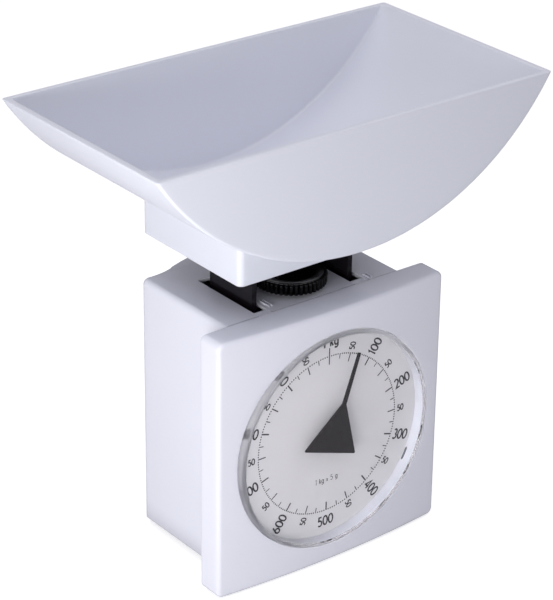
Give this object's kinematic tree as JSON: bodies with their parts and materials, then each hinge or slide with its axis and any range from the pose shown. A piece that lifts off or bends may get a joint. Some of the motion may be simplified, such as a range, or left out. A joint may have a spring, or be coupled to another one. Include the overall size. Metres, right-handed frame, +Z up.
{
  "type": "mechanical kitchen scale",
  "caption": "Small mechanical kitchen scale: a boat-shaped lift-off tray on a sprung carriage over a round pointer dial, with a zero knob on top.",
  "frame": {"origin": "centre of the bounding box at the level of the feet's undersides", "axes": "+X along the dial's width, to the right of someone who reads it; +Y from the dial towards the back; +Z up"},
  "size_m": [0.1714, 0.0926, 0.1774],
  "materials": {
    "white_gloss": "glossy white moulding",
    "white_satin": "satin white moulding",
    "black_plastic": "satin black moulding",
    "black_paint": "black painted sheet steel",
    "dial": "matt printed plate",
    "clear_plastic": "clear and glossy",
    "rubber": "matt soft rubber",
    "steel": "plain zinc-plated",
    "spring_steel": "drawn wire",
    "brass": "machined"
  },
  "bodies": {
    "housing": {"base_plate": "white_satin", "base_screw_1": "steel", "base_screw_2": "steel", "bearing_bracket": "steel", "bearing_screw_1": "steel", "bearing_screw_2": "steel", "bezel": "white_gloss", "bezel_screw_1": "steel", "bezel_screw_2": "steel", "bezel_screw_3": "steel", "bezel_screw_4": "steel", "dial_plate": "dial", "foot_front_left": "rubber", "foot_front_right": "rubber", "foot_rear_left": "rubber", "foot_rear_right": "rubber", "frame_screw_1": "steel", "frame_screw_2": "steel", "frame_screw_3": "steel", "frame_screw_4": "steel", "front_bush": "brass", "lens": "clear_plastic", "lower_lever_shaft": "steel", "mechanism_frame": "white_satin", "overload_stop": "rubber", "rear_bush": "brass", "rear_housing": "white_gloss", "upper_lever_shaft": "steel"},
    "carriage": {"bracket_rivet_1": "steel", "bracket_rivet_2": "steel", "bridge_rivet_left": "steel", "bridge_rivet_right": "steel", "carriage_arm_left": "black_paint", "carriage_arm_right": "black_paint", "carriage_crosshead": "black_paint", "carriage_lower_bridge": "black_paint", "crosshead_rivet_left_1": "steel", "crosshead_rivet_left_2": "steel", "crosshead_rivet_right_1": "steel", "crosshead_rivet_right_2": "steel", "lower_stud_left": "steel", "lower_stud_right": "steel", "rack": "brass", "rack_bracket": "steel", "rack_leaf_spring": "spring_steel", "rack_pivot_pin": "steel", "upper_stud_left": "steel", "upper_stud_right": "steel"},
    "tray": {"tray": "white_gloss"},
    "pointer_shaft": {"pinion": "brass", "pinion_shaft": "steel", "pointer": "black_plastic"},
    "upper_lever": {"upper_guide_lever": "black_paint"},
    "lower_lever": {"lower_guide_lever": "black_paint"},
    "zero_adjuster": {"adjuster_clip": "spring_steel", "adjuster_screw": "steel", "zero_knob": "black_plastic"},
    "hanger": {"main_spring": "spring_steel", "spring_hanger": "white_satin"}
  },
  "joints": [
    {"name": "carriage_slide", "type": "slide", "parent": "housing", "child": "carriage", "axis": [0, 0, 1], "range_m": [-0.0095, 0.0005], "stiffness_N_per_m": 976, "springref_m": 0.00232, "deforming": ["main_spring"]},
    {"name": "tray_lift", "type": "slide", "parent": "carriage", "child": "tray", "axis": [0, 0, 1], "range_m": [0, 0.06]},
    {"name": "pointer_turn", "type": "hinge", "parent": "housing", "child": "pointer_shaft", "pos_m": [0, -0.0212, 0.0513], "axis": [0, 1, 0], "range_deg": [-18.5, 341]},
    {"name": "upper_lever_turn", "type": "hinge", "parent": "housing", "child": "upper_lever", "pos_m": [0, 0.02475, 0.083], "axis": [1, 0, 0], "range_deg": [-1.2, 20.8]},
    {"name": "lower_lever_turn", "type": "hinge", "parent": "housing", "child": "lower_lever", "pos_m": [0, 0.02475, 0.019], "axis": [1, 0, 0], "range_deg": [-1.2, 20.8]},
    {"name": "zero_knob_turn", "type": "hinge", "parent": "housing", "child": "zero_adjuster", "pos_m": [0, -0.0066, 0.1062], "axis": [0, 0, 1], "range_deg": [-271, 271]},
    {"name": "spring_hanger_slide", "type": "slide", "parent": "housing", "child": "hanger", "axis": [0, 0, 1], "range_m": [-0.00075, 0.00075]}
  ],
  "couplings": [
    {"joint": "pointer_turn", "follows": "carriage_slide", "rad_per_m": -625},
    {"joint": "upper_lever_turn", "follows": "carriage_slide", "rad_per_m": -38.03},
    {"joint": "lower_lever_turn", "follows": "carriage_slide", "rad_per_m": -38.03},
    {"joint": "zero_knob_turn", "follows": "spring_hanger_slide", "rad_per_m": 6283.2}
  ]
}
